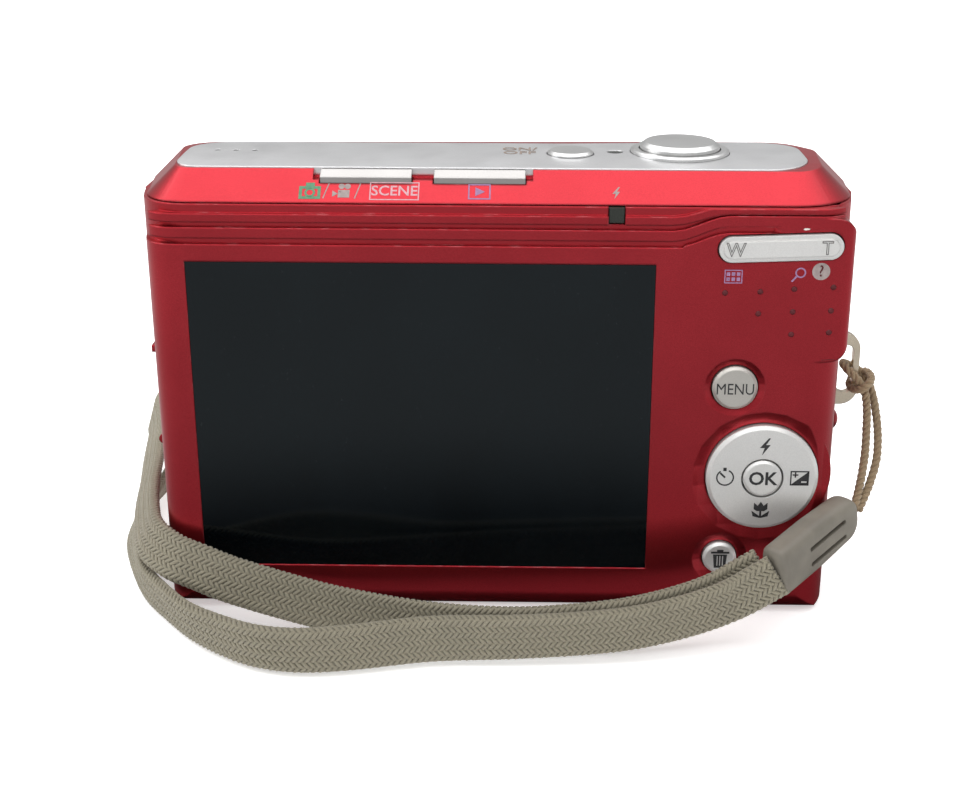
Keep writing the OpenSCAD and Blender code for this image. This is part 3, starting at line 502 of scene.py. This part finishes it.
def make_webbing():
    """Loop of braid, with strands that cross over and under each other round a core coloured near-black as
    painted shade in the gaps between the strands.
    """
    place, wide, thin = web_frames()
    along = lengths(place)
    total = along[-1]
    margin = STRAND_THICK + RISE
    radius = WEB_THICK / 2 - margin
    flat = WEB_WIDTH / 2 - margin - radius
    girth = 4 * flat + 2 * math.pi * radius
    spacing = girth / STRANDS
    s = np.linspace(0, total, int(total / girth * RINGS_PER_TURN))
    at = [np.stack([np.interp(s, along, v[:, c]) for c in range(3)], axis=1) for v in (place, wide, thin)]
    half = spacing * math.cos(math.pi / 4) / 2 * STRAND_COVER
    verts, faces, first = [], [], 0
    for way in (1, -1):
        for i in range(STRANDS):
            x, y, nx, ny = outline(i * spacing + way * s, flat, radius)
            step = 2 * i + way * 2 * s / spacing
            lift = way * RISE * np.clip(1.5 * np.cos(math.pi / 2 * (step - 0.5)), -1, 1)
            out = at[1] * nx[:, None] + at[2] * ny[:, None]
            centre = at[0] + at[1] * x[:, None] + at[2] * y[:, None] + out * lift[:, None]
            tangent = unit(np.gradient(centre, axis=0))
            side = unit(np.cross(out, tangent))
            out = unit(np.cross(tangent, side))
            verts.append(sweep(centre, side, out, half, STRAND_THICK))
            faces += tube_faces(len(s), 6, first)
            first += len(s) * 6
    braid = solid("strap_braid", np.vstack(verts), faces, WEB, "camera")
    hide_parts("strap_webbing")

    # Core inside the braid, near-black as painted shade seen through the gaps between the strands
    sides = 16
    core_q = np.arange(sides) / sides * girth
    x, y, nx, ny = outline(core_q, flat, radius)
    x, y = x - nx * CORE_GAP, y - ny * CORE_GAP
    at = [v[::2, None, :] for v in (place, wide, thin)]
    rings = at[0] + at[1] * x[None, :, None] + at[2] * y[None, :, None]
    core = solid("strap_core", rings.reshape(-1, 3), tube_faces(len(rings), sides), WEB_CORE_SHADE,
                 "camera")
    core.parent = braid
    core.matrix_parent_inverse = Matrix.Identity(4)
    return braid, core, place, total


# The thin cord: up from the end piece, through the eyelet and back down
CORD_ROUTE = [
    (51.1, -12.6, 15.9), (52.0, -10.6, 17.6), (52.8, -8.6, 19.6), (53.4, -6.8, 22.0), (53.7, -5.2, 24.8),
    (53.7, -4.4, 27.6), (53.2, -4.1, 30.2), (52.0, -4.0, 32.0), (50.9, -3.6, 33.0), (50.5, -2.4, 33.4),
    (50.5, -1.0, 33.3), (51.2, 0.1, 32.8), (52.8, 0.5, 32.0), (54.2, -0.2, 30.8), (55.0, -1.6, 28.9),
    (55.4, -3.2, 26.4), (55.5, -5.0, 23.6), (55.1, -7.0, 20.8), (54.0, -9.0, 18.2), (52.8, -10.8, 16.4),
    (51.8, -12.2, 15.1),
]
CORD_D = 1.3
TWIST = 2.6             # length of one full turn of its three strands

# The knot at the eyelet: its middle and its half sizes
KNOT = (53.0, -2.0, 31.0)
KNOT_SIZE = (1.35, 2.9, 0.9)


def twisted(name, points, diameter, body, mat, closed=False):
    """Three strands twisted together along a line."""
    place = spline(points, 0.25)[:, :3]
    s = lengths(place)
    tangent = unit(np.gradient(place, axis=0))
    if closed:
        tangent[0] = tangent[-1] = unit(tangent[0] + tangent[-1])
    a = unit(np.cross(np.array([0.31, 0.9, 0.3]), tangent))
    b = np.cross(tangent, a)
    pitch = s[-1] / max(1, round(s[-1] / TWIST))
    strand = diameter * 0.27
    verts, faces, first = [], [], 0
    for k in range(3):
        turn = 2 * np.pi * (s / pitch + k / 3)
        out = a * np.cos(turn)[:, None] + b * np.sin(turn)[:, None]
        centre = place + out * (diameter / 2 - strand)
        along = unit(np.gradient(centre, axis=0))
        side = unit(np.cross(out, along))
        verts.append(sweep(centre, side, unit(np.cross(along, side)), strand, strand, 8))
        faces += tube_faces(len(place), 8, first)
        first += len(place) * 8
    return solid(name, np.vstack(verts), faces, mat, body), place, s[-1]


def make_cord():
    """The thin cord and the knot that holds it at the eyelet."""
    cord, place, total = twisted("strap_loop", CORD_ROUTE, CORD_D, "camera", CORD)
    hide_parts("strap_cord")
    turns = np.linspace(0, 2 * math.pi, 13)
    x, y, z = KNOT
    dx, dy, dz = KNOT_SIZE
    ring = [(x + dx * math.cos(t), y + dy * math.sin(t), z + dz * math.cos(t)) for t in turns]
    knot = twisted("strap_knot", ring, CORD_D, "camera", CORD, True)[0]


# The end piece that joins the webbing to the thin cord
END_MIDDLE = (44.35, -18.5, 13.6)
END_TURN = 43
END_TILT = -12.5
END_LENGTH = 17.6
END_WIDTH = 7.6
END_THICK = 4.4
END_NOSE = 3.2          # length of the rounded nose
END_LIP = 0.5           # length of the rounded rim at the open end
SECTION_POWER = 2 / 3.4

# Its two slots: how far they lie to each side, their middle, half their straight length, and their radius
SLOT_SIDES = (-1.25, 1.25)
SLOT_MIDDLE = 0.6
SLOT_HALF = 3.7
SLOT_R = 0.36


def super_round(value):
    """Cosine or sine bent towards a rounded square."""
    return math.copysign(abs(value) ** SECTION_POWER, value)


def make_end_piece():
    """Moulded piece between the webbing and the cord, with two slots cut through it."""
    turn = (Matrix.Translation(END_MIDDLE) @ Matrix.Rotation(math.radians(END_TURN), 4, "Z")
            @ Matrix.Rotation(math.radians(END_TILT), 4, "Y"))
    half = END_LENGTH / 2
    sides = 48
    stations = np.concatenate([[-half, -half + 0.12, -half + 0.4], np.linspace(-half + 0.9, half - END_NOSE, 20),
                               half - END_NOSE + END_NOSE * np.sin(np.linspace(0.1, 1, 14) * math.pi / 2)])
    verts = []
    for u in stations:
        lip = 0.35 * max(0.0, 1 - (u + half) / END_LIP) ** 2
        nose = max(0.0, (u - half + END_NOSE) / END_NOSE)
        round_off = math.sqrt(max(0.0, 1 - min(1.0, nose) ** 2))
        width = (END_WIDTH / 2 - 0.5 * np.clip((u + 1) / 7, 0, 1)) * (0.12 + 0.88 * round_off) - lip
        thick = (END_THICK / 2 - 0.06) * (0.25 + 0.75 * round_off) - lip
        for k in range(sides):
            a = 2 * math.pi * k / sides
            verts.append((u, super_round(math.sin(a)) * thick, super_round(math.cos(a)) * width))
    verts = [tuple(turn @ Vector(v)) for v in verts]
    body = solid("strap_end", verts, tube_faces(len(stations), sides), RUBBER, "camera")
    for z in SLOT_SIDES:
        ring = []
        for k in range(24):
            a = 2 * math.pi * k / 24
            x = SLOT_MIDDLE + math.copysign(SLOT_HALF, math.cos(a)) + SLOT_R * math.cos(a)
            ring.append((x, z + SLOT_R * math.sin(a)))
        cutter = [tuple(turn @ Vector((x, y, zz))) for y in (-4, 4) for x, zz in ring]
        tool = solid(f"slot_{z}", cutter, tube_faces(2, 24), RUBBER, "camera", False)
        cut = body.modifiers.new("slot", "BOOLEAN")
        cut.object = tool
        cut.solver = "EXACT"
        bpy.context.view_layer.update()
        done = bpy.data.meshes.new_from_object(body.evaluated_get(bpy.context.evaluated_depsgraph_get()))
        body.modifiers.clear()
        body.data = done
        bpy.data.objects.remove(tool)
    body.data.set_sharp_from_angle(angle=math.radians(50))
    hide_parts("strap_junction")
    return body


end_piece = make_end_piece()
braid, core, web_path, web_length = make_webbing()
make_cord()


# ----------------------------------------------------------- printed marks

def label(name, text, x, z, height, mat, body, y=REAR_Y, slope=None, stretch=1.0, bold=0.0, outline_w=0.0):
    """Text in millimetres, centred at x and z on the rear, or at x and distance z up the shoulder."""
    data = bpy.data.curves.new(name, "FONT")
    data.body = text
    data.align_x = "CENTER"
    data.align_y = "CENTER"
    data.size = height * 1.39 * MM
    data.extrude = 0.01 * MM
    data.offset = bold * MM
    data.resolution_u = 3
    data.materials.append(mat)
    if outline_w:
        data.fill_mode = "NONE"
        data.extrude = 0
        data.bevel_depth = outline_w / 2 * MM
        data.bevel_resolution = 1
    obj = link(bpy.data.objects.new(name, data))
    place, tilt = spot(x, z, y, slope)
    obj.location = place * MM
    obj.rotation_euler = (tilt, 0, 0)
    obj.scale = (stretch, 1, 1)
    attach(obj, body)
    return obj


def spot(x, z, y, slope):
    """Where a mark lies and how it is tilted: on the rear (None), up the shoulder, or on top at height y."""
    if slope == "shoulder":
        normal = Vector((0, -math.sin(SLOPE), math.cos(SLOPE)))
        point = Vector((x, SLOPE_FOOT[0] + z * math.cos(SLOPE), SLOPE_FOOT[1] + z * math.sin(SLOPE)))
        return point + normal * PRINT, SLOPE
    if slope == "top":
        return Vector((x, z, y)), 0.0
    return Vector((x, y - PRINT, z)), math.pi / 2


class Mark:
    """A flat printed sign drawn from simple shapes in millimetres round its own middle."""

    def __init__(self):
        self.bm = bmesh.new()

    def poly(self, *points):
        self.bm.faces.new([self.bm.verts.new((x, y, 0)) for x, y in points])
        return self

    def bar(self, x0, y0, x1, y1):
        return self.poly((x0, y0), (x1, y0), (x1, y1), (x0, y1))

    def frame(self, x0, y0, x1, y1, w):
        self.bar(x0, y0, x1, y0 + w)
        self.bar(x0, y1 - w, x1, y1)
        self.bar(x0, y0 + w, x0 + w, y1 - w)
        return self.bar(x1 - w, y0 + w, x1, y1 - w)

    def ring(self, x, y, outer, inner, start=0.0, end=360.0):
        steps = 28
        for i in range(steps):
            a, b = (math.radians(start + (end - start) * k / steps) for k in (i, i + 1))
            corners = [(outer, a), (outer, b), (inner, b), (inner, a)]
            self.poly(*[(x + r * math.cos(t), y + r * math.sin(t)) for r, t in corners])
        return self

    def disc(self, x, y, r):
        return self.poly(*[(x + r * math.cos(math.pi * k / 12), y + r * math.sin(math.pi * k / 12))
                           for k in range(24)])

    def line(self, x0, y0, x1, y1, w):
        along = Vector((x1 - x0, y1 - y0)).normalized()
        dx, dy = -along.y * w / 2, along.x * w / 2
        return self.poly((x0 - dx, y0 - dy), (x1 - dx, y1 - dy), (x1 + dx, y1 + dy), (x0 + dx, y0 + dy))

    def put(self, name, x, z, mat, body, y=REAR_Y, slope=None, turn=0.0):
        bmesh.ops.remove_doubles(self.bm, verts=self.bm.verts, dist=0.001)
        place, tilt = spot(x, z, y, slope)
        self.bm.transform(Matrix.Scale(MM, 4) @ Matrix.Translation(place) @ Matrix.Rotation(tilt, 4, "X")
                          @ Matrix.Rotation(math.radians(turn), 4, "Z"))
        mesh = bpy.data.meshes.new(name)
        self.bm.to_mesh(mesh)
        self.bm.free()
        mesh.materials.append(mat)
        obj = link(bpy.data.objects.new(name, mesh))
        thick = obj.modifiers.new("ink", "SOLIDIFY")
        thick.thickness = 0.018 * MM
        thick.offset = 1
        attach(obj, body)
        return obj


def bolt(scale):
    """Flash sign, about two units high before it is scaled."""
    zig = [(0.35, 1.0), (-0.55, -0.12), (-0.05, -0.12), (-0.3, -1.0), (0.55, 0.22), (0.08, 0.22),
           (0.55, 1.0)]
    return Mark().poly(*[(x * scale, y * scale) for x, y in zig])


def make_marks():
    """Plain legends and signs on the keys, the rear, the plate and the shoulder."""
    label("legend_menu", "MENU", 32.75, 34.65, 1.65, INK_MENU, "menu_key", MENU_FACE, None, 0.84)
    label("legend_ok", "OK", 37.2, 21.5, 1.95, INK_BLACK, "ok_key", OK_FACE, None, 0.98, 0.06)
    label("legend_wide", "W", 31.75, 54.55, 1.9, ENGRAVED, "rocker", ROCKER_FACE, None, 0.92, 0, 0.12)
    label("legend_tele", "T", 43.75, 54.9, 1.9, ENGRAVED, "rocker", ROCKER_FACE, None, 0.92, 0, 0.12)
    label("legend_scene", "SCENE", -13.5, 1.95, 1.55, INK_PINK, "camera", slope="shoulder", stretch=0.98,
          bold=0.03)
    label("legend_power_on", "ON/", 3.0, 1.3, 1.9, INK_PLATE, "camera", PLATE_TOP, "top", 1.0, 0.03)
    label("legend_power_off", "OFF", 3.0, -1.25, 1.9, INK_PLATE, "camera", PLATE_TOP, "top", 1.0, 0.03)

    disc = "selector"
    bolt(1.3).put("sign_flash", 37.3, 26.3, INK_BLACK, disc, DISC_FACE)
    timer = Mark().ring(0, 0, 1.25, 1.05, 125, 425).line(0, 0, -0.7, 0.7, 0.26)
    timer.bar(-0.3, 1.0, 0.15, 1.5)
    timer.put("sign_timer", 32.0, 21.6, INK_BLACK, disc, DISC_FACE)
    light = Mark().frame(-1.3, -1.1, 1.3, 1.1, 0.18).poly((-1.2, -1.0), (1.2, -1.0), (1.2, 1.0))
    light.bar(-1.0, 0.4, -0.2, 0.6).bar(-0.7, 0.1, -0.5, 0.9)
    light.put("sign_exposure", 42.35, 21.6, INK_BLACK, disc, DISC_FACE)
    minus = Mark().bar(0.25, -0.65, 1.0, -0.45)
    minus.put("sign_exposure_minus", 42.35, 21.6, KEYS, disc, DISC_FACE - OVER)
    flower = Mark().poly((-0.95, 0.1), (-0.5, -0.2), (0.5, -0.2), (0.95, 0.1), (0.95, 1.1), (0.42, 0.62),
                         (0.0, 1.25), (-0.42, 0.62), (-0.95, 1.1))
    flower.bar(-0.14, -1.25, 0.14, -0.1).poly((-0.14, -1.25), (-0.14, -0.95), (-1.25, -0.15), (-1.05, -1.0))
    flower.poly((0.14, -1.25), (1.05, -1.0), (1.25, -0.15), (0.14, -0.95))
    flower.put("sign_macro", 37.2, 16.7, INK_BLACK, disc, DISC_FACE)
    bin_ = Mark().bar(-1.3, 0.8, 1.3, 1.1).bar(-0.45, 1.1, 0.45, 1.4)
    bin_.poly((-1.0, 0.65), (-0.8, -1.45), (0.8, -1.45), (1.0, 0.65))
    bin_.put("sign_delete", 31.95, 8.8, INK_BLACK, "delete_key", DELETE_FACE)
    ribs = Mark()
    for x in (-0.38, 0, 0.38):
        ribs.bar(x - 0.07, -1.1, x + 0.07, 0.42)
    ribs.put("sign_delete_ribs", 31.95, 8.8, KEYS, "delete_key", DELETE_FACE - OVER)

    grid = Mark().frame(-1.2, -0.95, 1.2, 0.95, 0.14)
    for row in range(2):
        for col in range(3):
            grid.bar(-0.92 + 0.68 * col, -0.62 + 0.72 * row, -0.46 + 0.68 * col, -0.12 + 0.72 * row)
    grid.put("sign_thumbnails", 31.7, 50.7, INK_LILAC, "camera")
    Mark().ring(0.2, 0.3, 0.72, 0.52).line(-0.3, -0.2, -0.95, -0.95, 0.24).put(
        "sign_magnify", 40.4, 51.0, INK_LILAC, "camera")
    Mark().disc(0, 0, 1.2).put("sign_help", 43.3, 51.5, INK_GREY, "camera")
    label("legend_help", "?", 43.3, 51.5, 1.6, PIT, "camera", REAR_Y - 0.06)

    cam = Mark().frame(-1.45, -1.25, 1.45, 0.75, 0.42).bar(-0.6, 0.75, 0.6, 1.3).ring(0, -0.25, 0.72, 0.42)
    cam.put("sign_auto", -24.75, 1.9, INK_GREEN, "camera", slope="shoulder")
    film = Mark().bar(-0.6, -1.0, 0.95, 0.2).disc(-0.15, 0.75, 0.42).disc(0.65, 0.75, 0.42)
    film.poly((-0.62, -0.4), (-1.35, 0.1), (-1.35, -0.9))
    film.put("sign_movie", -20.4, 1.9, INK_GREY, "camera", slope="shoulder")
    for i, x in enumerate((-22.6, -18.4)):
        slash = Mark().line(-0.35, -1.2, 0.35, 1.2, 0.16)
        slash.put(f"sign_slash_{i}", x, 1.95, INK_GREY, "camera", slope="shoulder")
    box = Mark().frame(-3.3, -1.4, 3.3, 1.4, 0.16)
    box.put("sign_scene_box", -13.5, 1.95, INK_PINK, "camera", slope="shoulder")
    play = Mark().frame(-1.5, -1.2, 1.5, 1.2, 0.2).poly((-0.55, 0.7), (-0.55, -0.7), (0.75, 0))
    play.put("sign_play", -2.2, 1.95, INK_LILAC, "camera", slope="shoulder")
    bolt(0.95).put("sign_flash_ready", 15.95, 1.9, INK_GREY, "camera", slope="shoulder")


# Places of the thumb dots on the rear, row by row, and the profile of one dot from its rim up
DOTS = [
    (30.7, 48.4), (35.4, 48.6), (39.9, 49.0), (45.1, 49.3),
    (35.3, 45.5), (39.9, 45.8), (45.0, 46.0),
    (39.9, 42.6), (44.95, 42.9),
]
DOT_PROFILE = [(0.42, -0.02), (0.40, 0.03), (0.30, 0.10), (0.16, 0.15)]
DOT_SIDES = 14


def make_dots():
    """Small grip dots of the thumb rest, each a low dome in a darker ring."""
    angles = np.arange(DOT_SIDES) * math.pi * 2 / DOT_SIDES
    for i, (x, z) in enumerate(DOTS):
        rings = []
        for r, h in DOT_PROFILE:
            rings += [(x + r * math.cos(a), REAR_Y - h, z + r * math.sin(a)) for a in angles]
        faces = tube_faces(len(DOT_PROFILE), DOT_SIDES)
        solid(f"grip_dot_{i}", rings, faces, PIT, "camera")


make_marks()
make_dots()


# The sound holes in the plate: the first one's place, their spacing, and the height of the dark discs inside
# them, painted shade of the holes' depth
HOLE = (-39.4, -0.5)
HOLE_STEP = 2.6
HOLE_SHADE_HEIGHT = 64.21


def make_hole_floors():
    """Dark discs just inside the three sound holes in the plate, painted shade of the holes' depth."""
    for i in range(3):
        dot = Mark().disc(0, 0, 0.46)
        dot.put(f"hole_floor_{i}", HOLE[0] + HOLE_STEP * i, HOLE[1], HOLE_SHADE_PAINT, "camera", HOLE_SHADE_HEIGHT, "top")


make_hole_floors()


def make_chip():
    """Chip in the paint above the rocker and a hairline scratch beside the menu button."""
    chip = Mark().poly((-0.45, -0.07), (-0.12, -0.15), (0.38, -0.08), (0.48, 0.07), (0.06, 0.13),
                       (-0.32, 0.1))
    chip.put("paint_chip", 41.0, 57.3, CHIP, "camera")
    Mark().line(-0.8, -0.05, 0.9, 0.06, 0.07).put("hairline", 45.0, 39.0, PIT, "camera")


make_chip()


# ------------------------------------------------------- floor and lights

FLOOR_HALF = 4
FLOOR_GLOW = 0.45


def make_floor():
    """Plain pale floor that glows a little, as on a light table, and that metal doesn't mirror."""
    mesh = bpy.data.meshes.new("floor")
    w = FLOOR_HALF
    mesh.from_pydata([(-w, -w, 0), (w, -w, 0), (w, w, 0), (-w, w, 0)], [], [(0, 1, 2, 3)])
    obj = link(bpy.data.objects.new("floor", mesh))
    paint = Paint("floor", (0.93, 0.93, 0.93), 0.9)
    paint.set("Emission Color", (1, 1, 1, 1))
    paint.set("Emission Strength", FLOOR_GLOW)
    obj.data.materials.append(paint.mat)
    obj.visible_glossy = False


def light(name, place, aim, size, power):
    """Area light in metres and watts."""
    data = bpy.data.lights.new(name, "AREA")
    data.shape = "RECTANGLE"
    data.size, data.size_y = size
    data.energy = power
    lamp = link(bpy.data.objects.new(name, data))
    lamp.location = place
    lamp.rotation_mode = "QUATERNION"
    lamp.rotation_quaternion = (Vector(aim) - Vector(place)).to_track_quat("-Z", "Y")


# Brightness of the studio round the object, from straight below (0) to straight above (1)
WORLD_STOPS = [
    (0.0, 0.01), (0.272, 0.01), (0.302, 0.74), (0.42, 0.78), (0.5, 0.40), (0.62, 0.36), (0.8, 0.65),
    (1.0, 0.75),
]


def studio_world():
    """White behind the object, with softer light from the horizon down, as in a small light tent."""
    world = bpy.data.worlds.new("world")
    bpy.context.scene.world = world
    world.use_nodes = True
    tree = world.node_tree
    back = tree.nodes["Background"]
    coords = tree.nodes.new("ShaderNodeTexCoord")
    split = tree.nodes.new("ShaderNodeSeparateXYZ")
    height = tree.nodes.new("ShaderNodeMapRange")
    height.inputs["From Min"].default_value = -1
    ramp = tree.nodes.new("ShaderNodeValToRGB").color_ramp
    for i, (place, value) in enumerate(WORLD_STOPS):
        stop = ramp.elements[i] if i < 2 else ramp.elements.new(place)
        stop.position = place
        stop.color = (value, value, value, 1)
    shade = tree.nodes["Color Ramp"]
    rays = tree.nodes.new("ShaderNodeLightPath")
    white = tree.nodes.new("ShaderNodeMix")
    white.data_type = "RGBA"
    white.inputs[7].default_value = (1, 1, 1, 1)
    tree.links.new(coords.outputs["Generated"], split.inputs[0])
    tree.links.new(split.outputs["Z"], height.inputs["Value"])
    tree.links.new(height.outputs["Result"], shade.inputs["Fac"])
    tree.links.new(rays.outputs["Is Camera Ray"], white.inputs[0])
    tree.links.new(shade.outputs["Color"], white.inputs[6])
    tree.links.new(white.outputs[2], back.inputs["Color"])


studio_world()
make_floor()
light("top_light", (0.02, 0.10, 0.85), (0, 0, 0), (1.5, 1.2), 8.5)
light("left_light", (-0.75, -0.05, 0.5), (0, 0, 0.02), (0.5, 0.5), 2)
light("rear_light", (-0.1, -0.62, 0.72), (0, 0, 0.03), (0.6, 0.4), 1.15)

bpy.context.scene.view_settings.view_transform = "Standard"
